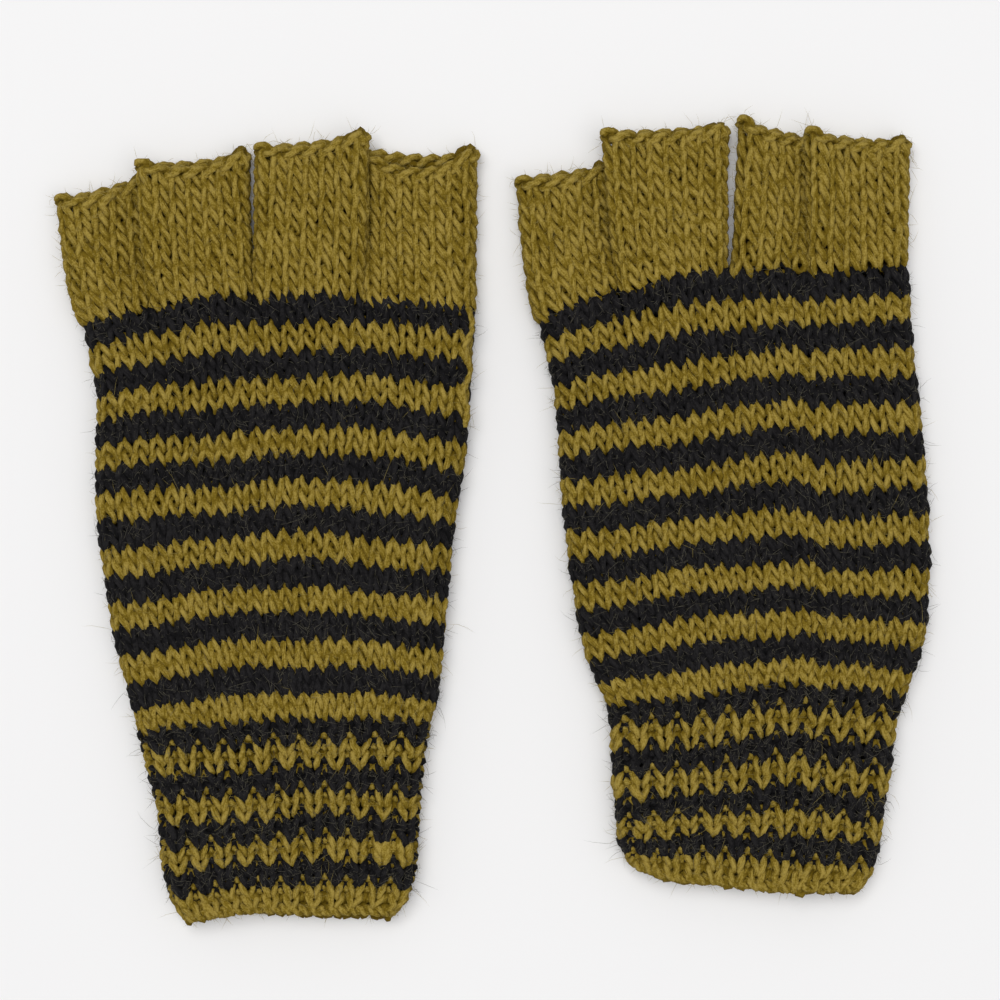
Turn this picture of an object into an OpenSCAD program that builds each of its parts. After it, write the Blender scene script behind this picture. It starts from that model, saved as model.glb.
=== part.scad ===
// A pair of hand-knitted fingerless gloves lying flat, backs up, side by side.
// +Y points to the fingertips, +X to the right, and Z = 0 is the surface that the gloves lie on.
// Every glove is a flattened tube: dark and olive stripes, a ribbed cuff, four open finger tubes
// and a thumb opening in the palm.

/* [Knitted fabric] */
// Thickness of the knitted fabric
wall = 3; // [2.6:0.1:3.4]
// Height of the hollow between the back and the palm
hollow = 5; // [4.8:0.1:6]
// Height of one knitted round on the hand
hand_round = 3.35; // [3.2:0.01:3.45]
// Height of one knitted round on the ribbed cuff
cuff_round = 3.14; // [3:0.01:3.3]

/* [Stripes] */
// Rounds in every stripe
stripe_rounds = 2; // [2:1:2]
// Dark stripes on the hand, each with an olive one below it
hand_pairs = 8; // [7:1:8]
// Dark stripes on the cuff, with an olive one between each two
cuff_pairs = 4; // [3:1:4]

/* [Left glove] */
// Height of the top of the first stripe above the middle of the pair
left_top = 57.4; // [56:0.1:59]
// Length of the longest finger tube of the left glove
left_finger = 39; // [35:0.5:42]

/* [Right glove] */
// Height of the top of the first stripe above the middle of the pair
right_top = 63; // [61:0.1:64]
// Length of the longest finger tube of the right glove
right_finger = 37.2; // [34:0.5:40]

/* [Openings and fold lines] */
// Radius of the thumb opening in the palm
thumb_r = 11; // [9:0.5:12]
// Width of the bound-off rim around the thumb opening
rim_w = 2.6; // [2:0.1:3]
// Length of the bound-off edge at the tip of a finger tube
edge_len = 3; // [2:0.1:4]
// Clearance at every fold line
fold_gap = 0.3; // [0.2:0.05:0.5]

/* [Hidden] */
thick = 2 * wall + hollow;
pair_h = 2 * stripe_rounds;
hand_rounds = pair_h * hand_pairs;
cuff_rounds = pair_h * cuff_pairs;
arc_step = 30;
reach = 8;
olive = [0.54, 0.49, 0.22];
dark = [0.12, 0.12, 0.15];
$fn = 48;

// Outline of each glove: height, left side and right side.
left_sides = [[58, -103.6, -5.2], [5, -99.2, -9.2], [-46, -91.6, -14.4], [-102, -79.6, -20.6]];
right_sides = [[64, 11.6, 104.6], [30, 15.5, 107.6], [-7, 21, 111], [-42, 29.6, 102], [-96, 34.6, 97.8]];

// How far the stripes droop below their crest, from the left side to the right side.
left_droop = [[-104, 8.5], [-95, 6], [-74, 2.4], [-47, 0], [-19, 0.9], [-4, 3.4]];
right_droop = [[10, 11.4], [23, 7.6], [47, 2.4], [70, 0], [92, 0], [106, 0.6]];

// Finger tubes, from left to right: name, middle of the root, width, lean to the left in degrees,
// and share of the longest tube's length.
left_tubes = [
    ["pinky", -94.7, 18.4, 12.4, 0.865],
    ["ring", -73.5, 23, 3.5, 0.935],
    ["middle", -47.2, 27.6, -1.5, 1],
    ["index", -18.9, 26.6, -1.5, 0.94]];
right_tubes = [
    ["index", 22.9, 22, 7, 0.93],
    ["middle", 47, 24.6, 2, 1],
    ["ring", 69.9, 19.6, 0, 0.996],
    ["pinky", 92.6, 23.6, 0, 0.875]];

// A glove: name, top of the first stripe, sides, droop, finger tubes, longest tube, and the
// middle of its thumb opening.
left = ["left", left_top, left_sides, left_droop, left_tubes, left_finger, [-31, 6]];
right = ["right", right_top, right_sides, right_droop, right_tubes, right_finger, [41, 8]];
gloves = [left, right];

function side(g, y, s) = lookup(y, [for (p = g[2]) [p[0], p[s]]]);
function joint_y(g) = g[1] - hand_rounds * hand_round;
function round_y(g, v) =
    v <= hand_rounds ? g[1] - v * hand_round : joint_y(g) - (v - hand_rounds) * cuff_round;
function droop(g, x, v) = lookup(x, g[3]) * max(0, 1 - v / hand_rounds);
function edge_y(g, x, v) = round_y(g, v) - droop(g, x, v);
function root_y(g, t) = edge_y(g, t[1], 0);
function tube_len(g, t) = g[5] * t[4];
function tube_names(g) = [for (t = g[4]) t[0]];

// Outline of a flattened tube of width w and height h that rests on the X axis.
function flat_oval(w, h) = concat(
    [for (a = [-90:arc_step:90]) [w / 2 - h / 2 + h / 2 * cos(a), h / 2 + h / 2 * sin(a)]],
    [for (a = [90:arc_step:270]) [-w / 2 + h / 2 + h / 2 * cos(a), h / 2 + h / 2 * sin(a)]]);

// Flattened tube of width w, from y = 0 down to y = -len.
module flat_tube(w, len) {
    rotate([90, 0, 0])
        linear_extrude(len)
            difference() {
                polygon(flat_oval(w, thick));
                translate([0, wall])
                    polygon(flat_oval(w - 2 * wall, hollow));
            }
}

// Upper line of the first stripe, with one flat step under each finger tube.
function root_line(g) = let (
    n = len(g[4]),
    cuts = [for (i = [1:n - 1]) (g[4][i - 1][1] + g[4][i - 1][2] / 2 + g[4][i][1] - g[4][i][2] / 2) / 2],
    xs = concat([side(g, g[1], 1) - reach], cuts, [side(g, g[1], 2) + reach]))
    [for (i = [0:n - 1]) each [[xs[i], root_y(g, g[4][i])], [xs[i + 1], root_y(g, g[4][i])]]];

// Line between two rounds, drawn from the left side to the right side.
function round_line(g, v) = concat(
    [[side(g, g[1], 1) - reach, edge_y(g, g[3][0][0], v)]],
    [for (p = g[3]) [p[0], edge_y(g, p[0], v)]],
    [[side(g, g[1], 2) + reach, edge_y(g, g[3][len(g[3]) - 1][0], v)]]);

function backwards(line) = [for (i = [len(line) - 1:-1:0]) line[i]];

// The space that holds rounds v0 to v1 of a glove.
module round_slab(g, v0, v1) {
    upper = v0 == 0 ? root_line(g) : round_line(g, v0);
    translate([0, 0, -1])
        linear_extrude(thick + 2)
            polygon(concat(round_line(g, v1), backwards(upper)));
}

// Rounds v0 to v1 as one ring of the glove.
module stripe(g, v0, v1) {
    mid = (round_y(g, v0) + round_y(g, v1)) / 2;
    x0 = side(g, mid, 1);
    x1 = side(g, mid, 2);
    top = round_y(g, v0) + reach;
    len = round_y(g, v0) - round_y(g, v1) + 3 * reach;
    intersection() {
        translate([(x0 + x1) / 2, top, 0])
            flat_tube(x1 - x0, len);
        round_slab(g, v0, v1);
    }
}

// A stripe of the hand, cut for the thumb where it crosses the opening in the palm.
module hand_stripe(g, v0, colour) {
    hole_r = thumb_r + rim_w;
    y0 = round_y(g, v0);
    y1 = round_y(g, v0 + stripe_rounds) - lookup(g[6][0], g[3]);
    crosses = y0 > g[6][1] - hole_r && y1 < g[6][1] + hole_r;
    color(colour)
        if (crosses)
            difference() {
                stripe(g, v0, v0 + stripe_rounds);
                translate([g[6][0], g[6][1], -1])
                    cylinder(r = hole_r, h = 1 + wall + hollow / 2);
            }
        else
            stripe(g, v0, v0 + stripe_rounds);
}

module hand_dark(g, i) {
    hand_stripe(g, (i - 1) * pair_h, dark);
}

module hand_olive(g, i) {
    hand_stripe(g, (i - 1) * pair_h + stripe_rounds, olive);
}

// Rounds of the cuff, which start a fold gap below the hand.
module cuff_stripe(g, v0) {
    intersection() {
        stripe(g, v0, v0 + stripe_rounds);
        translate([side(g, joint_y(g), 1) - reach, joint_y(g) - fold_gap - cuff_rounds * cuff_round, -1])
            cube([side(g, joint_y(g), 2) - side(g, joint_y(g), 1) + 2 * reach, cuff_rounds * cuff_round, thick + 2]);
    }
}

module cuff_dark(g) {
    color(dark)
        for (i = [0:cuff_pairs - 1])
            cuff_stripe(g, hand_rounds + i * pair_h);
}

module cuff_olive(g) {
    color(olive)
        for (i = [0:cuff_pairs - 2])
            cuff_stripe(g, hand_rounds + i * pair_h + stripe_rounds);
}

module cuff_hem(g) {
    color(olive)
        cuff_stripe(g, hand_rounds + cuff_rounds - stripe_rounds);
}

// Bound-off rim of the thumb opening, in the palm only.
module thumb_rim(g) {
    clear = 0.1;
    color(olive)
        translate([g[6][0], g[6][1], 0])
            difference() {
                cylinder(r = thumb_r + rim_w - clear, h = wall);
                translate([0, 0, -1])
                    cylinder(r = thumb_r, h = wall + 2);
            }
}

// Finger tube t, from its fold line to the bound-off edge.
module finger_tube(g, t) {
    body_len = tube_len(g, t) - edge_len;
    color(olive)
        intersection() {
            translate([t[1], root_y(g, t), 0])
                rotate([0, 0, t[3]])
                    translate([0, body_len, 0])
                        flat_tube(t[2], body_len + reach);
            translate([t[1] - 2 * t[2], root_y(g, t) + fold_gap, -1])
                cube([4 * t[2], g[5] + reach, thick + 2]);
        }
}

// Bound-off edge around the open tip of finger tube t.
module bound_edge(g, t) {
    color(olive)
        translate([t[1], root_y(g, t), 0])
            rotate([0, 0, t[3]])
                translate([0, tube_len(g, t), 0])
                    flat_tube(t[2], edge_len);
}

for (g = gloves) {
    for (i = [1:hand_pairs]) {
        hand_dark(g, i);
        hand_olive(g, i);
    }
    thumb_rim(g);
    cuff_dark(g);
    cuff_olive(g);
    cuff_hem(g);
    for (t = g[4]) {
        finger_tube(g, t);
        bound_edge(g, t);
    }
}
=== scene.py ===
import math

import bmesh
import bpy
import numpy as np
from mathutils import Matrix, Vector


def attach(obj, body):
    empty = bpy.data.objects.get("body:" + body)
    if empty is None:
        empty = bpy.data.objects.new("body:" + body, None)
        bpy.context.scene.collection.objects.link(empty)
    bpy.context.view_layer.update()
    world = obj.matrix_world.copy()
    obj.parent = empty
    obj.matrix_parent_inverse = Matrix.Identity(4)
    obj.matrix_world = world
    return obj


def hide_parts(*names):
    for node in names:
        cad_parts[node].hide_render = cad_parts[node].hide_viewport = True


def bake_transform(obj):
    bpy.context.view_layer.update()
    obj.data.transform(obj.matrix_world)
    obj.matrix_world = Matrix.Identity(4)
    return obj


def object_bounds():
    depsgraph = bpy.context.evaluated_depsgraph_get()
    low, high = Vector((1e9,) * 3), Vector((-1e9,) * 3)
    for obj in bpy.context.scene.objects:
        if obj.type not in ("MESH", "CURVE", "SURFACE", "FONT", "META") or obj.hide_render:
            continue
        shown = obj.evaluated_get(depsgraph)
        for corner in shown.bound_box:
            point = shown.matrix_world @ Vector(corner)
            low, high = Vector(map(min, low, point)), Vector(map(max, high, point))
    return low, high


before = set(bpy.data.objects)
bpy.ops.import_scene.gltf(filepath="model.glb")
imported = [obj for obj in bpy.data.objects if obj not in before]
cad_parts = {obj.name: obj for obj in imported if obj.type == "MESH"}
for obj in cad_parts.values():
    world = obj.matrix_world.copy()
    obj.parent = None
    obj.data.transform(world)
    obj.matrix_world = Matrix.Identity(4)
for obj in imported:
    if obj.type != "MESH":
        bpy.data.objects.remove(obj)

cad_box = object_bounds()
scene = bpy.context.scene


# ---------------------------------------------------------------------------------------------
# Floor, light and camera
# The gloves lie on a plain pale table top under a large soft light, and are seen from straight
# above through a long lens, so that both lie square in the frame.

view_middle = (0.0020, 0.0053)
view_width = 0.253
lens_mm = 100.0
sensor_mm = 36.0
table_size = 3.0
table_colour = (0.86, 0.86, 0.86, 1)
table_roughness = 0.85
room_colour = (0.985, 0.985, 1.0, 1)
room_strength = 0.4

table_mesh = bmesh.new()
bmesh.ops.create_grid(table_mesh, x_segments=1, y_segments=1, size=table_size / 2)
table_data = bpy.data.meshes.new("table_top")
table_mesh.to_mesh(table_data)
table_mesh.free()
table = bpy.data.objects.new("table_top", table_data)
scene.collection.objects.link(table)
table_paint = bpy.data.materials.new("table_paint")
table_paint.use_nodes = True
table_shader = table_paint.node_tree.nodes["Principled BSDF"]
table_shader.inputs["Base Color"].default_value = table_colour
table_shader.inputs["Roughness"].default_value = table_roughness
table_data.materials.append(table_paint)

world = bpy.data.worlds.new("soft_room")
scene.world = world
world.use_nodes = True
world.node_tree.nodes["Background"].inputs["Color"].default_value = room_colour
world.node_tree.nodes["Background"].inputs["Strength"].default_value = room_strength


def soft_light(name, place, size, power, colour):
    """A square light that faces the middle of the table."""
    lamp = bpy.data.lights.new(name, "AREA")
    lamp.shape = "SQUARE"
    lamp.size = size
    lamp.energy = power
    lamp.color = colour
    holder = bpy.data.objects.new(name, lamp)
    holder.location = place
    holder.rotation_euler = (-Vector(place)).to_track_quat("-Z", "Y").to_euler()
    scene.collection.objects.link(holder)


soft_light("key_light", place=(-0.45, 0.6, 2.9), size=1.8, power=52.0, colour=(1.0, 0.99, 0.98))
soft_light("fill_light", place=(0.9, -0.5, 2.6), size=2.0, power=16.0, colour=(0.99, 0.99, 1.0))

lens = bpy.data.cameras.new("camera")
lens.lens = lens_mm
lens.sensor_width = sensor_mm
lens.clip_start = 0.01
lens.clip_end = 20
camera = bpy.data.objects.new("camera", lens)
glove_top = cad_box[1][2]
camera.location = (view_middle[0], view_middle[1], glove_top + view_width * lens_mm / sensor_mm)
scene.collection.objects.link(camera)
scene.camera = camera
scene.view_settings.view_transform = "Standard"


# ---------------------------------------------------------------------------------------------
# Stripes of the hand
# Each stripe is two rounds of stockinette, knitted in a spiral from a soft wool yarn: olive, or
# a fuzzier navy black. Its loops hang in those of the stripe below, and nothing else holds it.

# A glove lies thick high. fabric is one of its two layers, and palm_z the height of the lower one's
# middle. around is the number of stitches in a round, and yarn_r the radius of the olive yarn.
mm = 0.001
thick = 11 * mm
fabric = 3.2 * mm
palm_z = 2.5 * mm
hand_round = 3.35 * mm
cuff_round = 3.14 * mm
hand_rounds = 32
around = 46
yarn_r = 0.93 * mm

# One loop: how many rounds it reaches up and down, how many stitches it leans and swings sideways,
# and how far it dives into the fabric and comes out.
loop_height = 0.84
loop_lean = 0.18
loop_swing = 0.231
loop_depth = 0.68 * mm
loop_points = 14

# How uneven a hand knits: the usual error of each, from stitch to stitch.
uneven_swing = 0.022
uneven_height = 0.05
uneven_depth = 0.12 * loop_depth
uneven_place = 0.055
uneven_round = 0.05
uneven_rise = 0.1 * mm

# What sets the two gloves apart. All lengths are in mm, and rounds are counted down from the fingers.
# top, crest: height of the first round, and where across the glove it is highest
# start: share of the way round at which the spiral of the yarn begins
# jog, cuff_jog: how many rounds the spiral drops in one turn, in the hand and in the cuff
# bend: how late the left half of a round begins to droop, by round
# forks: where two fingers part
# thumb: middle of the thumb opening
# sides: height, left edge and right edge
# shift: how far a round lies above an even spacing, by round
# left_droop, right_droop: how far a round hangs lower at that edge than at the crest, by round
gloves = {
    "left": {
        "top": 57.4,
        "crest": -46,
        "start": 0.5,
        "jog": 1.0,
        "cuff_jog": 1.0,
        "bend": [[0, 2.0], [48, 2.0]],
        "forks": (-86.5, -60.7, -32.9),
        "thumb": (-31, 6),
        "sides": [[58, -105, -4], [48, -104.2, -4.2], [33, -101, -5.2], [18, -101.2, -6.3],
                  [3, -101.4, -8.6], [-12, -99.4, -10.4], [-28, -97.2, -11.6], [-43, -93.2, -13.2],
                  [-58, -89.4, -16.8], [-73, -85.2, -18.4], [-88, -84, -19.2], [-96, -82, -21.2],
                  [-100, -79, -25]],
        "shift": [[0, -0.5], [4, -1.4], [21, -1.4], [25, -0.8], [29, -1.2], [33, -0.4], [37, -1],
                  [41, -0.6], [45, 0.5], [48, 1.2]],
        "left_droop": [[0, 6], [5, 5.2], [9, 4.6], [13, 2.6], [25, 3.6], [29, 4.6], [33, 3.3], [37, 1.4],
                       [48, 1.4]],
        "right_droop": [[0, 4.9], [5, 4.2], [9, 3.9], [13, 4.2], [25, 4], [29, 3.4], [33, 2], [37, 1.6],
                        [41, 0.8], [48, 0]],
    },
    "right": {
        "top": 63.0,
        "crest": 75.5,
        "start": 0.338,
        "jog": 0.55,
        "cuff_jog": 0.2,
        "bend": [[0, 2.0], [4, 1.25], [45, 1.25], [48, 3.4]],
        "forks": (33.0, 59.9, 80.4),
        "thumb": (41, 8),
        "sides": [[64, 11, 106.4], [48, 12.2, 107.1], [33, 15.6, 109], [18, 16.7, 110.4],
                  [3, 17.7, 111.4], [-12, 19.4, 111.9], [-28, 22, 111], [-35, 23.8, 109], [-43, 27, 106],
                  [-50, 30, 103.2], [-66, 30.8, 101], [-81, 32, 98.8], [-89, 36, 97], [-95, 40, 93]],
        "shift": [[0, 0.4], [9, 0.2], [13, -0.3], [17, -1.2], [21, -0.8], [25, 0.8], [29, 1.8], [33, 3],
                  [37, 2.4], [41, 1.6], [45, 2.2], [48, 1.8]],
        "left_droop": [[0, 11.2], [5, 9.4], [9, 8.2], [13, 6.4], [17, 4.6], [21, 4.6], [25, 6.2],
                       [29, 6.8], [33, 5.5], [37, 4.4], [41, 2.4], [45, -0.6], [48, -6.4]],
        "right_droop": [[0, 0], [5, -2.2], [13, -1.6], [17, -1.2], [21, 0.6], [25, 2.8], [33, 2],
                        [37, 2], [48, 0.4]],
    },
}

# right_bend: how late the right half of a round begins to droop
# fork_dip, fork_reach: depth of the dip between two fingers' roots, and half its width in mm
right_bend = 1.6
fork_dip = 2.6 * mm
fork_reach = 2.8


def look(table, key, column=1):
    """Value at a height or a round between the rows of one of the tables above."""
    rows = sorted(table)
    return np.interp(key, [row[0] for row in rows], [row[column] for row in rows])


def flat_oval(u, low_x, high_x, low_z, high_z):
    """Point and outward direction at share u round a flattened tube, from its left side over the back."""
    r = (high_z - low_z) / 2
    flat = high_x - low_x - 2 * r
    whole = 2 * flat + 2 * math.pi * r
    s = np.mod(u, 1.0) * whole
    q = math.pi * r / 2
    mid_z = (low_z + high_z) / 2
    angles = [s / r, (s - q - flat) / r, (s - 3 * q - 2 * flat) / r]
    on_back = (s >= q) & (s < q + flat)
    on_right = (s >= q + flat) & (s < 3 * q + flat)
    on_palm = (s >= 3 * q + flat) & (s < 3 * q + 2 * flat)
    on_last = s >= 3 * q + 2 * flat
    zero = np.zeros_like(s)
    parts = [on_back, on_right, on_palm, on_last]
    x = np.select(parts, [
        low_x + r + s - q,
        high_x - r + r * np.sin(angles[1]),
        high_x - r - (s - 3 * q - flat),
        low_x + r - r * np.sin(angles[2]),
    ], low_x + r - r * np.cos(angles[0]))
    z = np.select(parts, [
        zero + mid_z + r,
        mid_z + r * np.cos(angles[1]),
        zero + mid_z - r,
        mid_z - r * np.cos(angles[2]),
    ], mid_z + r * np.sin(angles[0]))
    out_x = np.select(parts, [zero, np.sin(angles[1]), zero, -np.sin(angles[2])], -np.cos(angles[0]))
    out_z = np.select(parts, [zero + 1, np.cos(angles[1]), zero - 1, -np.cos(angles[2])], np.sin(angles[0]))
    return x, z, out_x, out_z, whole


def edges(glove, v):
    """Left and right edge of the glove at round v, the height of its crest, and its droop at each edge."""
    crown = glove["top"] * mm - np.minimum(v, hand_rounds) * hand_round
    crown = crown - np.maximum(v - hand_rounds, 0) * cuff_round + look(glove["shift"], v) * mm
    left_droop = look(glove["left_droop"], v)
    right_droop = look(glove["right_droop"], v)
    low_x = look(glove["sides"], crown / mm - left_droop, 1) * mm + fabric / 2
    high_x = look(glove["sides"], crown / mm - right_droop, 2) * mm - fabric / 2
    return low_x, high_x, crown, left_droop, right_droop


def hang(glove, x, v):
    """Height at which round v crosses x: a bow that droops to both edges, with two slow waves in it."""
    low_x, high_x, crown, left_droop, right_droop = edges(glove, v)
    crest = glove["crest"] * mm
    to_left = np.clip((crest - x) / (crest - low_x), 0, 1.1)
    to_right = np.clip((x - crest) / (high_x - crest), 0, 1.1)
    droop = left_droop * to_left ** look(glove["bend"], v) + right_droop * to_right ** right_bend
    wave = 0.45 * np.sin(x / mm * 0.11 + v * 0.23) + 0.3 * np.sin(x / mm * 0.21 - v * 0.31 + 1.3)
    return crown - (droop + wave) * mm


def hand_fabric(glove, u, v):
    """Middle of the fabric at share u round the glove and v rounds down it, and its outward direction.

    The back swells a little here and there, and dips between the roots of the fingers.
    """
    low_x, high_x = edges(glove, v)[:2]
    x, z, out_x, out_z, _ = flat_oval(u, low_x, high_x, palm_z, thick - fabric / 2)
    swell = 0.35 * np.sin(x / mm * 0.13 + 0.7) * np.sin(v * 0.21 + 0.4) * mm
    for fork in glove["forks"]:
        swell = swell - fork_dip * np.exp(-((x / mm - fork) / fork_reach) ** 2) * np.clip(1 - v, 0, 1)
    place = np.stack([x, hang(glove, x, v), z + np.where(out_z > 0, swell, 0)], axis=-1)
    return place, np.stack([out_x, np.zeros_like(out_x), out_z], axis=-1)


def knit(surface, rounds, stitches, start, jog, seed, lean=loop_lean, swing=loop_swing, rib=None):
    """The line of a yarn knitted round a tube: its points, their outward directions and their rise.

    Over a stitch, t runs from one foot at 0 over the head at 0.5 to the next foot at 1. A plain
    stitch comes to the front in both legs, and a purl stitch of a rib does so in its head and feet.
    """
    dice = np.random.default_rng(seed)
    count = stitches * len(rounds)
    step = np.arange(count * loop_points + 1) / loop_points
    whole = np.floor(step + 1e-9)
    t = step - whole
    marks = np.arange(count + 1)

    def uneven(size):
        return np.interp(step, marks, dice.normal(0, size, count + 1))

    along = t + (swing + uneven(uneven_swing)) * np.sin(4 * np.pi * t)
    up = -np.cos(2 * np.pi * t) * (loop_height + uneven(uneven_height))
    rise = -(loop_depth + uneven(uneven_depth)) * np.cos(4 * np.pi * t)
    place_in_row = whole + along + uneven(uneven_place) - lean * up
    if rib:
        purl = whole.astype(int) % 2
        inner = np.clip(np.minimum(t, 1 - t) / rib["crossing"], 0, 1)
        face = (1 - 2 * purl) * inner
        rise = rise * face + np.where(face > 0, rib["knit_rise"], rib["purl_rise"]) * face
        rise = rise + rib["head_rise"] * np.exp(-((t - 0.5) / rib["head_width"]) ** 2) * purl
        up = up * (rib["height"] + purl * inner * np.where(up > 0, rib["purl_head"], rib["purl_foot"]))
        pair = np.floor(place_in_row / 2)
        inside = place_in_row / 2 - pair
        knit_share = rib["knit_share"]
        purl_part = knit_share + (inside - 0.5) * 2 * (1 - knit_share)
        place_in_row = 2 * (pair + np.where(inside < 0.5, inside * 2 * knit_share, purl_part))
    row = np.minimum(np.floor(step / stitches + 1e-9), len(rounds) - 1).astype(int)
    turn = step / stitches - row
    v = np.array(rounds)[row] + 0.5 + jog * (0.5 - turn) - up + uneven(uneven_round)
    place, out = surface(start + place_in_row / stitches, v)
    rise = rise + uneven(uneven_rise)
    return place + out * rise[:, None], out, rise


def thin_line(name, lines, radius, sides, sizes):
    """A mesh of round threads along lines, with an even number of sides and a point at both ends."""
    data = bpy.data.curves.new(name, "CURVE")
    data.dimensions = "3D"
    data.bevel_depth = radius
    data.bevel_resolution = sides // 2 - 2
    for line, size in zip(lines, sizes):
        spline = data.splines.new("POLY")
        spline.points.add(len(line) - 1)
        places = np.hstack([line, np.ones((len(line), 1))]).astype(np.float32)
        spline.points.foreach_set("co", places.ravel())
        size[[0, -1]] = 0
        spline.points.foreach_set("radius", size.astype(np.float32))
    holder = bpy.data.objects.new(name, data)
    scene.collection.objects.link(holder)
    mesh = bpy.data.meshes.new_from_object(holder.evaluated_get(bpy.context.evaluated_depsgraph_get()))
    bpy.data.objects.remove(holder)
    bpy.data.curves.remove(data)
    return mesh


# The yarn: two plies that turn 1.5 times in a stitch and stand out by a share of its radius. Its
# thickness errs by spinning_error every spinning_points points. The last value is the height over
# which the colour goes from a painted shade deep in the fabric to a painted highlight on top.
yarn_sides = 6
plies = 2
ply_turns = 1.5
ply_depth = 0.13
spinning_error = 0.07
spinning_points = 9
painted_shade_reach = 3.1 * mm


def yarn_mesh(name, runs, radius, seed, slubs):
    """Two-ply yarn along each run, thicker at the slubs of the back.

    Its UV counts turns round the yarn and stitches along it. Its attribute crown is 0 deep in the
    fabric and 1 on top, and sets the painted shade and painted highlight of its colour.
    """
    dice = np.random.default_rng(seed)
    sizes = []
    for line, out, _ in runs:
        knots = np.arange(len(line) // spinning_points + 2)
        thickness = dice.normal(1, spinning_error, len(knots))
        size = np.interp(np.arange(len(line)) / spinning_points, knots, thickness)
        for x, y, extra, reach in slubs:
            away = np.linalg.norm(line[:, :2] - np.array([x, y]) * mm, axis=1) / (reach * mm)
            size = size + extra * np.exp(-away ** 2) * (out[:, 2] > -0.2)
        sizes.append(size)
    mesh = thin_line(name, [line for line, _, _ in runs], radius, yarn_sides, sizes)
    lines = np.concatenate([line for line, _, _ in runs])
    outs = np.concatenate([out for _, out, _ in runs])
    rises = np.concatenate([rise for _, _, rise in runs])
    corners = np.empty(len(mesh.vertices) * 3, dtype=np.float32)
    mesh.vertices.foreach_get("co", corners)
    ring = np.arange(len(mesh.vertices)) // yarn_sides
    side = np.arange(len(mesh.vertices)) % yarn_sides
    twist = 2 * math.pi * (ply_turns * ring / loop_points - side / yarn_sides)
    rough = dice.normal(1, spinning_error, len(ring))
    swollen = rough + ply_depth * np.cos(plies * twist)
    from_middle = (corners.reshape(-1, 3) - lines[ring]) * swollen[:, None]
    mesh.vertices.foreach_set("co", (lines[ring] + from_middle).astype(np.float32).ravel())
    # Height in the fabric, for the painted shade: the colour darkens where the yarn lies deep and lightens
    # on top.
    lift = (from_middle * outs[ring]).sum(axis=1) + rises[ring]
    crown = mesh.attributes.new("crown", "FLOAT", "POINT")
    crown.data.foreach_set("value", np.clip(0.5 + lift / painted_shade_reach, 0, 1).astype(np.float32))
    where = np.empty(len(mesh.loops), dtype=np.int32)
    mesh.loops.foreach_get("vertex_index", where)
    layer = mesh.uv_layers[0]
    layer.name = "yarn"
    flat = np.empty(len(layer.data) * 2, dtype=np.float32)
    layer.data.foreach_get("uv", flat)
    flat[0::2] = flat[1::2]
    flat[1::2] = ring[where] / loop_points
    layer.data.foreach_set("uv", flat)
    fold_strip(mesh, flat[0::2], ring[where] / len(lines))
    return mesh


strip_folds = 12


def fold_strip(mesh, across, along):
    """Lays the long strip of a yarn side by side in folds, so that each face has its own patch."""
    first = np.empty(len(mesh.polygons), dtype=np.int32)
    total = np.empty(len(mesh.polygons), dtype=np.int32)
    mesh.polygons.foreach_get("loop_start", first)
    mesh.polygons.foreach_get("loop_total", total)
    fold = np.floor(np.minimum.reduceat(along, first) * strip_folds * 0.9999)
    fold = np.repeat(fold, total)
    flat = np.empty(len(along) * 2, dtype=np.float32)
    flat[0::2] = (fold + 0.05 + 0.9 * across) / (strip_folds + 1)
    flat[1::2] = 0.01 + 0.96 * (along * strip_folds - fold)
    mesh.uv_layers.new(name="OFBake").data.foreach_set("uv", flat)


# Loose fibres: their usual length, how they thin out, how widely they spread, how high in the fabric
# the yarn has to lie to let one go, and the lowest and highest place that one reaches.
hair_r = 0.04 * mm
hair_length = 2.1 * mm
hair_points = 4
hair_sides = 4
hair_taper = (1.2, 0.3)
hair_spread = 0.6
hair_from = 0.1 * mm
hair_low = 0.05 * mm
hair_high = thick + 6 * mm


def fuzz_mesh(name, runs, radius, count, seed):
    """Loose fibres that stand off the upper side of a yarn, each one a fine curl."""
    dice = np.random.default_rng(seed)
    curls = []
    whole = sum(len(line) for line, _, _ in runs)
    for line, out, rise in runs:
        share = max(1, int(count * len(line) / whole))
        on_top = rise[1:-1] >= min(hair_from, rise[1:-1].max())
        spots = dice.choice(np.flatnonzero(on_top) + 1, share)
        way = out[spots] + dice.normal(0, 0.4, (share, 3))
        way /= np.linalg.norm(way, axis=1)[:, None]
        heading = way * 0.25 + dice.normal(0, hair_spread, (share, 3))
        heading /= np.linalg.norm(heading, axis=1)[:, None]
        bend = dice.normal(0, hair_spread, (share, 3)) - out[spots] * 0.15
        step = dice.gamma(1.7, hair_length / 1.7, share) / (hair_points - 1)
        here = line[spots] + way * radius * 0.95
        path = [here]
        for _ in range(hair_points - 1):
            heading = heading + bend + dice.normal(0, 0.12, (share, 3))
            heading /= np.linalg.norm(heading, axis=1)[:, None]
            here = here + heading * step[:, None]
            path.append(here)
        path = np.stack(path, axis=1)
        path[:, :, 2] = np.clip(path[:, :, 2], hair_low, hair_high)
        curls.extend(path)
    taper = np.linspace(*hair_taper, hair_points)
    mesh = thin_line(name + "_fuzz", curls, hair_r, hair_sides, [taper] * len(curls))
    layer = mesh.uv_layers[0]
    layer.name = "yarn"
    flat = np.empty(len(layer.data) * 2, dtype=np.float32)
    layer.data.foreach_get("uv", flat)
    crown = mesh.attributes.new("crown", "FLOAT", "POINT")
    crown.data.foreach_set("value", np.ones(len(mesh.vertices), dtype=np.float32))
    flat = flat.reshape(-1, 2)[:, ::-1].copy()
    flat[:, 0] = (strip_folds + 0.2 + 0.6 * flat[:, 0]) / (strip_folds + 1)
    mesh.uv_layers.new(name="OFBake").data.foreach_set("uv", flat.ravel())
    return mesh


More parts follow.
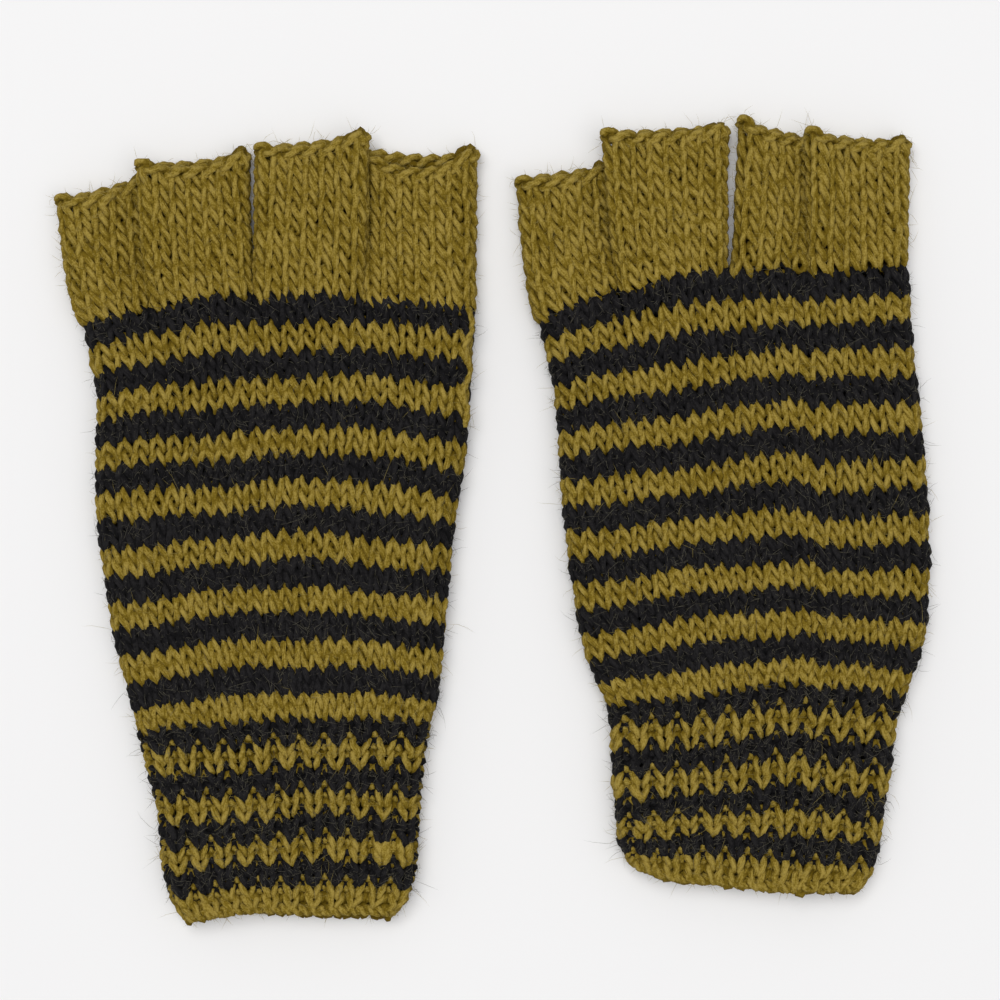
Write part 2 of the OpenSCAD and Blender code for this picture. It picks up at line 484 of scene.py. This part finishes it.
def knitted_piece(name, runs, materials, seed, hairs, radius=yarn_r, slubs=()):
    """Yarn and its loose fibres as one object."""
    both = bmesh.new()
    yarn = yarn_mesh(name, runs, radius, seed, slubs)
    fuzz = fuzz_mesh(name, runs, radius, hairs, seed + 1)
    both.from_mesh(yarn)
    yarn_faces = len(both.faces)
    both.from_mesh(fuzz)
    for number, face in enumerate(both.faces):
        face.smooth = True
        face.material_index = 0 if number < yarn_faces else 1
    bmesh.ops.remove_doubles(both, verts=both.verts, dist=1e-7)
    mesh = bpy.data.meshes.new(name)
    both.to_mesh(mesh)
    both.free()
    bpy.data.meshes.remove(yarn)
    bpy.data.meshes.remove(fuzz)
    for material in materials:
        mesh.materials.append(material)
    piece = bpy.data.objects.new(name, mesh)
    scene.collection.objects.link(piece)
    return piece


def wool_group():
    """Twisted wool: ply ridges, fine fibres, a speckle, painted shade in ply grooves and deep down, a
    painted highlight on top.
    """
    group = bpy.data.node_groups.new("wool_yarn", "ShaderNodeTree")
    for label, kind in (
        ("Light", "NodeSocketColor"),
        ("Middle", "NodeSocketColor"),
        ("PaintedShade", "NodeSocketColor"),
        ("Plies", "NodeSocketFloat"),
        ("Twist", "NodeSocketFloat"),
        ("Ridge", "NodeSocketFloat"),
    ):
        group.interface.new_socket(label, in_out="INPUT", socket_type=kind)
    group.interface.new_socket("Color", in_out="OUTPUT", socket_type="NodeSocketColor")
    group.interface.new_socket("Height", in_out="OUTPUT", socket_type="NodeSocketFloat")
    nodes = group.nodes
    links = group.links
    enter = nodes.new("NodeGroupInput")
    leave = nodes.new("NodeGroupOutput")

    def work(operation, a, b=None):
        node = nodes.new("ShaderNodeMath")
        node.operation = operation
        for slot, value in enumerate((a, b)):
            if isinstance(value, (int, float)):
                node.inputs[slot].default_value = value
            elif value is not None:
                links.new(value, node.inputs[slot])
        return node.outputs[0]

    uv = nodes.new("ShaderNodeUVMap")
    uv.uv_map = "yarn"
    parts = nodes.new("ShaderNodeSeparateXYZ")
    links.new(uv.outputs[0], parts.inputs[0])
    spiral = work("SUBTRACT", work("MULTIPLY", parts.outputs[1], enter.outputs["Twist"]),
                  work("MULTIPLY", parts.outputs[0], enter.outputs["Plies"]))
    ridge = work("ABSOLUTE", work("COSINE", work("MULTIPLY", spiral, math.pi)))
    turn = work("MULTIPLY", parts.outputs[0], 2 * math.pi)
    fibre_place = nodes.new("ShaderNodeCombineXYZ")
    links.new(work("COSINE", turn), fibre_place.inputs[0])
    links.new(work("SINE", turn), fibre_place.inputs[1])
    links.new(work("MULTIPLY", parts.outputs[1], 1.3), fibre_place.inputs[2])
    fibre = nodes.new("ShaderNodeTexNoise")
    fibre.inputs["Scale"].default_value = 3.2
    fibre.inputs["Detail"].default_value = 4.0
    fibre.inputs["Roughness"].default_value = 0.65
    links.new(fibre_place.outputs[0], fibre.inputs["Vector"])
    place = nodes.new("ShaderNodeTexCoord")
    blotch = nodes.new("ShaderNodeTexNoise")
    blotch.inputs["Scale"].default_value = 260.0
    blotch.inputs["Detail"].default_value = 3.0
    links.new(place.outputs["Object"], blotch.inputs["Vector"])
    height = work("ADD", work("MULTIPLY", ridge, enter.outputs["Ridge"]), fibre.outputs[0])
    grain = nodes.new("ShaderNodeTexNoise")
    grain.inputs["Scale"].default_value = 2300.0
    grain.inputs["Detail"].default_value = 2.0
    links.new(place.outputs["Object"], grain.inputs["Vector"])
    crown = nodes.new("ShaderNodeAttribute")
    crown.attribute_name = "crown"
    speckle = work("ADD", work("MULTIPLY", blotch.outputs[0], 0.5), grain.outputs[0])
    speckle = work("ADD", speckle, work("MULTIPLY", fibre.outputs[0], 1.2))
    # Painted shade: the ply ridges and the crown darken the colour in the grooves between plies and deep in
    # the fabric, and lighten it on top.
    speckle_and_painted_shade = work("ADD", work("MULTIPLY", ridge, 0.22), speckle)
    speckle_and_painted_shade = work("ADD", work("ADD", speckle_and_painted_shade, crown.outputs["Fac"]), -1.49)

    def shade_from(below, above, tone_low, tone_high):
        share = nodes.new("ShaderNodeMapRange")
        share.inputs["From Min"].default_value = tone_low
        share.inputs["From Max"].default_value = tone_high
        links.new(speckle_and_painted_shade, share.inputs["Value"])
        mix = nodes.new("ShaderNodeMix")
        mix.data_type = "RGBA"
        links.new(share.outputs[0], mix.inputs[0])
        links.new(below, mix.inputs[6])
        links.new(above, mix.inputs[7])
        return mix.outputs[2]

    # From the painted deep shade through the middle colour to the painted highlight.
    lower_shade = shade_from(enter.outputs["PaintedShade"], enter.outputs["Middle"], 0.45, 0.85)
    links.new(shade_from(lower_shade, enter.outputs["Light"], 0.80, 1.15), leave.inputs["Color"])
    links.new(height, leave.inputs["Height"])
    return group


wool = wool_group()


def wool_material(name, painted_highlight, middle, painted_shade, sheen, sheen_tint):
    """The yarn group under a matt shader, from a painted highlight on its top fibres to painted shade
    between loops.
    """
    material = bpy.data.materials.new(name)
    material.use_nodes = True
    tree = material.node_tree
    shader = tree.nodes["Principled BSDF"]
    yarn = tree.nodes.new("ShaderNodeGroup")
    yarn.node_tree = wool
    yarn.inputs["Light"].default_value = (*painted_highlight, 1)
    yarn.inputs["Middle"].default_value = (*middle, 1)
    yarn.inputs["PaintedShade"].default_value = (*painted_shade, 1)
    yarn.inputs["Plies"].default_value = plies
    yarn.inputs["Twist"].default_value = plies * ply_turns
    yarn.inputs["Ridge"].default_value = 0.6
    relief = tree.nodes.new("ShaderNodeBump")
    relief.inputs["Strength"].default_value = 0.8
    relief.inputs["Distance"].default_value = 0.4 * mm
    tree.links.new(yarn.outputs["Color"], shader.inputs["Base Color"])
    tree.links.new(yarn.outputs["Height"], relief.inputs["Height"])
    tree.links.new(relief.outputs["Normal"], shader.inputs["Normal"])
    shader.inputs["Roughness"].default_value = 0.92
    shader.inputs["Specular IOR Level"].default_value = 0.1
    shader.inputs["Sheen Weight"].default_value = sheen
    shader.inputs["Sheen Roughness"].default_value = 0.5
    shader.inputs["Sheen Tint"].default_value = (*sheen_tint, 1)
    return material


def hair_material(name, colour):
    """Loose fibres, which are too fine to show any twist or grain."""
    material = bpy.data.materials.new(name)
    material.use_nodes = True
    shader = material.node_tree.nodes["Principled BSDF"]
    shader.inputs["Base Color"].default_value = (*colour, 1)
    shader.inputs["Roughness"].default_value = 0.8
    shader.inputs["Specular IOR Level"].default_value = 0.25
    return material


# For each wool: a painted highlight for the tops of its loops, a middle colour, and a painted shade for
# deep between them.
olive_wool = wool_material(
    "olive_wool", painted_highlight=(0.36, 0.263, 0.056), middle=(0.20, 0.137, 0.013), painted_shade=(0.125, 0.080, 0.004),
    sheen=0.02, sheen_tint=(0.8, 0.7, 0.35))
dark_wool = wool_material(
    "dark_wool", painted_highlight=(0.018, 0.017, 0.0175), middle=(0.0068, 0.0063, 0.0070), painted_shade=(0.004, 0.004, 0.0042),
    sheen=0.015, sheen_tint=(0.6, 0.6, 0.65))
olive_hair = hair_material("olive_hair", (0.32, 0.25, 0.07))
dark_hair = hair_material("dark_hair", (0.13, 0.12, 0.085))
shades = {"olive": [olive_wool, olive_hair], "dark": [dark_wool, dark_hair]}

thumb_r = 12.4 * mm
yarn_fullness = {"dark": 1.1, "olive": 1.0}
stripe_hairs = {"dark": 1250, "olive": 650}
side_seed = {"left": 7, "right": 11}

# Between its stripes the olive yarn is carried up the right edge of the left glove, over the dark ones.
carried_piece = "left_hand_olive_1"
carried_rounds = (-0.6, 8.4)
carried_turn = 0.488
carried_rise = 1.1 * mm


def clear_of_thumb(glove, line, out, rise):
    """Cuts the loops of the palm that would cross the thumb opening, and returns the runs that are left."""
    middle = np.array(glove["thumb"]) * mm
    inside = (np.linalg.norm(line[:, :2] - middle, axis=1) < thumb_r) & (out[:, 2] < 0)
    cuts = np.flatnonzero(np.diff(inside.astype(int))) + 1
    pieces = zip(np.split(line, cuts), np.split(out, cuts), np.split(rise, cuts), np.split(inside, cuts))
    return [(a, b, c) for a, b, c, gone in pieces if not gone[0] and len(a) > 3]


for side, glove in gloves.items():
    for number in range(hand_rounds // 2):
        shade = "dark" if number % 2 == 0 else "olive"
        name = f"{side}_hand_{shade}_{number // 2 + 1}"
        seed = 100 * number + side_seed[side]
        rounds = [2 * number + 1, 2 * number]
        line, out, rise = knit(lambda u, v: hand_fabric(glove, u, v), rounds, around, glove["start"],
                               glove["jog"], seed)
        runs = clear_of_thumb(glove, line, out, rise)
        if name == carried_piece:
            carried_v = np.linspace(*carried_rounds, 60)
            carried_u = carried_turn + 0.004 * np.sin(carried_v * 1.9)
            place, out = hand_fabric(glove, carried_u, carried_v)
            runs.append((place + out * carried_rise, out, np.full(len(place), carried_rise)))
        piece = knitted_piece(name + "_yarn", runs, shades[shade], seed, hairs=stripe_hairs[shade],
                              radius=yarn_r * yarn_fullness[shade])
        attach(piece, f"{side}_hand")
        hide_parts(name)


# ---------------------------------------------------------------------------------------------
# Rims of the thumb openings
# The round opening in each palm is bound off with the olive yarn: a chain of slanting links that
# lies on the raw loops and keeps them from running.


def chain(middle, out, across, links, spread):
    """Two strands of yarn laid round each other along a line, one slanting link for each stitch."""
    runs = []
    for strand in (0, 1):
        angle = np.linspace(0, math.pi * links, len(middle)) + strand * math.pi
        away = out * np.cos(angle)[:, None] + across * np.sin(angle)[:, None]
        runs.append((middle + away * spread, away, np.full(len(middle), spread)))
    return runs


# rim_height is that of the chain above the table, in mm as the place of the opening is.
rim_links = 20
link_points = 9
rim_height = 2.3
rim_spread = 0.75 * mm
rim_seed = 31
for side, glove in gloves.items():
    name = f"{side}_thumb_rim"
    angle = np.linspace(0, 2 * math.pi, rim_links * link_points + 1)
    ring = np.stack([np.cos(angle), np.sin(angle), np.zeros_like(angle)], axis=1)
    middle = np.array([*glove["thumb"], rim_height]) * mm + ring * thumb_r
    palm_out = np.tile([0.0, 0.0, -1.0], (len(angle), 1))
    piece = knitted_piece(name + "_chain", chain(middle, palm_out, ring, rim_links, rim_spread),
                          shades["olive"], rim_seed, hairs=60)
    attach(piece, f"{side}_hand")
    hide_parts(name)


# ---------------------------------------------------------------------------------------------
# Ribbed cuffs and hems
# Sixteen rounds of one-and-one rib in the same two yarns. The knit columns stand out and crowd
# the purl ones, and a soft cast-on edge in olive closes the hem.

# knit_share: how much of each pair of columns the knit one takes
# knit_rise, purl_rise: how far the knit column stands out, and how far the purl one lies back
# head_rise, head_width: the bump of a purl stitch's head, and its width as a share of the stitch
# height, purl_head, purl_foot: height of a loop, and what a purl stitch adds to it above and below
# crossing: share of a stitch over which the yarn passes from one face to the other
rib_form = {
    "knit_share": 0.76,
    "knit_rise": 0.28 * mm,
    "purl_rise": 0.9 * mm,
    "head_rise": 1.3 * mm,
    "head_width": 0.05,
    "height": 0.97,
    "purl_head": 0.32,
    "purl_foot": -0.4,
    "crossing": 0.13,
}
rib_lean = 0.05

# Slubs, the thick places in a hand-spun yarn: x, y, how much thicker, and length. All but the third in mm.
slubs = {"left": [(-27.1, -83.2, 0.9, 2.6)], "right": [(32.6, -55.5, 0.5, 4), (32.8, -67.5, 0.5, 4)]}

# The cast-on chain lies along hem_round.
hem_round = 47.9
hem_spread = 0.7 * mm
cuff_hairs = {"dark": 1500, "olive": 700}
cuff_seed = {"left": 9001, "right": 9002}
cuff_parts = {
    "cuff_dark": [32, 36, 40, 44],
    "cuff_olive": [34, 38, 42],
    "cuff_hem": [46],
}
for side, glove in gloves.items():
    for number, (part, first_rounds) in enumerate(cuff_parts.items()):
        name = f"{side}_{part}"
        shade = "dark" if part == "cuff_dark" else "olive"
        runs = []
        for first in first_rounds:
            seed = cuff_seed[side] + 10 * first
            top_round = {"head_rise": 0} if first == hand_rounds else {}
            runs.append(knit(lambda u, v: hand_fabric(glove, u, v), [first + 1, first], around,
                             glove["start"], glove["cuff_jog"], seed, lean=rib_lean,
                             rib={**rib_form, **top_round}))
        if part == "cuff_hem":
            share = np.linspace(0, 1, around * link_points + 1)
            middle, out = hand_fabric(glove, share, np.full_like(share, hem_round))
            down = np.tile([0.0, -1.0, 0.0], (len(share), 1))
            runs.extend(chain(middle, out, down, around, hem_spread))
        piece = knitted_piece(name + "_yarn", runs, shades[shade], 9500 + number,
                              hairs=len(first_rounds) * cuff_hairs[shade],
                              radius=yarn_r * yarn_fullness[shade], slubs=slubs[side])
        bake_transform(piece)
        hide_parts(name)


# ---------------------------------------------------------------------------------------------
# Finger tubes
# Each open finger is a short tube of plain olive stockinette, knitted on from the hand's last
# round. Neighbours lie a little over each other.

finger_round = 3.42 * mm
finger_pitch = 4.15 * mm
finger_lean = 0.24
finger_swing = 0.222
finger_hairs = 1100
finger_fullness = 1.05
finger_seed = {"left": 20001, "right": 20002}

# lean_power: below 1, a tube takes its way soon after its root
# tip_drop: how much nearer the table the upper layer of a tube lies at its tip
# layer_step: how far, in mm, the rim of the upper layer stays short of that of the lower one
# ear_width: width of the ear at a rim's corner, as a share of the tube's width
# overlap_reach: width of the strip along a tube's edge that lies over or under its neighbour
# overlap_lift, overlap_thinner: how far an upper strip is lifted, and by what share it is thinner
# underlap_thinner: by what share a lower strip is pressed down
lean_power = 0.55
tip_drop = 2.2 * mm
layer_step = 1.1
ear_width = 0.1
overlap_reach = 10 * mm
overlap_lift = 4.6 * mm
overlap_thinner = 0.12
underlap_thinner = 0.45

# In mm: root and tip are the left and right edge, rim the height of the open end at each edge, dip how
# far it sags and ears the height of its corners. cross says which edges lie over (1) or under (-1).
fingers = {
    "left": {
        "pinky": {"root": (-105.0, -86.0), "tip": (-111.6, -87.6), "rim": (80.0, 85.4), "dip": 0.8,
                  "ears": (0.8, 0.2), "cross": (0, -1)},
        "ring": {"root": (-87.0, -59.8), "tip": (-90.6, -61.6), "rim": (88.6, 91.2), "dip": 1.2,
                 "ears": (0.6, 0.6), "cross": (1, 0)},
        "middle": {"root": (-61.6, -32.4), "tip": (-60.8, -31.0), "rim": (93.2, 96.2), "dip": 0.5,
                   "ears": (0.6, 0.2), "cross": (0, 1)},
        "index": {"root": (-33.4, -4.0), "tip": (-35.6, -3.4), "rim": (93.0, 91.6), "dip": 4.0,
                  "ears": (0.2, 0.8), "cross": (-1, 0)},
    },
    "right": {
        "index": {"root": (11.0, 33.4), "tip": (5.8, 30.2), "rim": (85.2, 88.2), "dip": 0.2,
                  "ears": (0.1, 0.1), "cross": (0, -1)},
        "middle": {"root": (32.6, 60.2), "tip": (27.6, 60.6), "rim": (96.8, 98.6), "dip": 0.2,
                   "ears": (0.2, 0), "cross": (1, 0)},
        "ring": {"root": (59.6, 81.2), "tip": (62.4, 83.4), "rim": (99.6, 95.6), "dip": 0.5,
                 "ears": (1.2, 0.2), "cross": (0, -1)},
        "pinky": {"root": (79.6, 106.0), "tip": (79.2, 106.8), "rim": (96.4, 94.6), "dip": 0.4,
                  "ears": (1.0, 0.4), "cross": (1, 0)},
    },
}


def smooth(t):
    """Eases from 0 to 1."""
    t = np.clip(t, 0, 1)
    return t * t * (3 - 2 * t)


def finger_fabric(glove, finger, u, v):
    """Middle of a finger tube's fabric at share u round it, v rounds down from its root."""
    up = -v / finger["rounds"]
    leave = np.sign(up) * np.abs(up) ** lean_power
    low_x = (finger["root"][0] + (finger["tip"][0] - finger["root"][0]) * leave) * mm + fabric / 2
    high_x = (finger["root"][1] + (finger["tip"][1] - finger["root"][1]) * leave) * mm - fabric / 2
    high_z = thick - fabric / 2 - tip_drop * smooth(up)
    x, z, out_x, out_z, whole = flat_oval(u, low_x, high_x, palm_z, high_z)
    share = (x - low_x) / (high_x - low_x)
    root_x = (finger["root"][0] + (finger["root"][1] - finger["root"][0]) * share) * mm
    root_y = hang(glove, root_x, np.zeros_like(root_x))
    upper = smooth(0.5 + out_z)
    rim = finger["rim"][0] + (finger["rim"][1] - finger["rim"][0]) * share
    rim = rim - finger["dip"] * (0.3 + 0.7 * upper) * np.sin(math.pi * share)
    rim = rim - layer_step * upper * np.clip(4 * share, 0, 1) * np.clip(4 - 4 * share, 0, 1)
    ears = finger["ears"][0] * np.exp(-(share / ear_width) ** 2)
    ears = ears + finger["ears"][1] * np.exp(-((1 - share) / ear_width) ** 2)
    y = root_y + (rim * mm - root_y) * up + ears * mm * np.clip(up, 0, 1.2) ** 4
    free = smooth(up / 0.4)
    for edge, away in ((0, share), (1, 1 - share)):
        near = smooth(1 - away * (high_x - low_x) / overlap_reach) * free
        if finger["cross"][edge] > 0:
            z = z * (1 - overlap_thinner * near) + overlap_lift * near
        elif finger["cross"][edge] < 0:
            z = palm_z + (z - palm_z) * (1 - underlap_thinner * near)
    swell = 0.4 * mm * np.sin(x / mm * 0.3 + 1.1) * free
    place = np.stack([x, y, z + np.where(out_z > 0, swell, 0)], axis=-1)
    return place, np.stack([out_x, np.zeros_like(out_x), out_z], axis=-1), whole


for side, hand in fingers.items():
    glove = gloves[side]
    for number, (title, finger) in enumerate(hand.items()):
        name = f"{side}_{title}_tube"
        seed = finger_seed[side] + 10 * number
        middle_x = (finger["root"][0] + finger["root"][1]) / 2 * mm
        root_y = float(hang(glove, np.array(middle_x), np.array(0.0)))
        height = (finger["rim"][0] + finger["rim"][1]) / 2 * mm - root_y
        finger["rounds"] = round(height / finger_round)
        _, _, whole = finger_fabric(glove, finger, np.zeros(1), np.full(1, -finger["rounds"] / 2))
        finger["stitches"] = round(float(whole[0]) / finger_pitch)
        rounds = list(range(-1, -finger["rounds"] - 1, -1))
        run = knit(lambda u, v: finger_fabric(glove, finger, u, v)[:2], rounds, finger["stitches"],
                   start=0.6, jog=1.0, seed=seed, lean=finger_lean, swing=finger_swing)
        piece = knitted_piece(name + "_yarn", [run], shades["olive"], seed, hairs=finger_hairs,
                              radius=yarn_r * finger_fullness)
        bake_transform(piece)
        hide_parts(name)


# ---------------------------------------------------------------------------------------------
# Bound-off finger edges
# The last round of each finger is cast off with the same yarn: a chain of slanting links runs
# round the open end, a little proud of it, and bunches into a small ear at each corner.

stitches_per_link = 2.2
edge_link_points = 10
edge_round = 0.25
edge_spread = 1.1 * mm
edge_fullness = 1.1
for side, hand in fingers.items():
    glove = gloves[side]
    for number, (title, finger) in enumerate(hand.items()):
        name = f"{side}_{title}_bound_edge"
        links = 2 * round(finger["stitches"] / stitches_per_link)
        share = np.linspace(0, 1, links * edge_link_points + 1)
        v = np.full_like(share, -finger["rounds"] - edge_round)
        middle, out, _ = finger_fabric(glove, finger, share, v)
        up_way = np.tile([0.0, 1.0, 0.0], (len(share), 1))
        piece = knitted_piece(name + "_chain", chain(middle, out, up_way, links, edge_spread),
                              shades["olive"], 30000 + number, hairs=280, radius=yarn_r * edge_fullness)
        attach(piece, f"{side}_{title}")
        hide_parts(name)
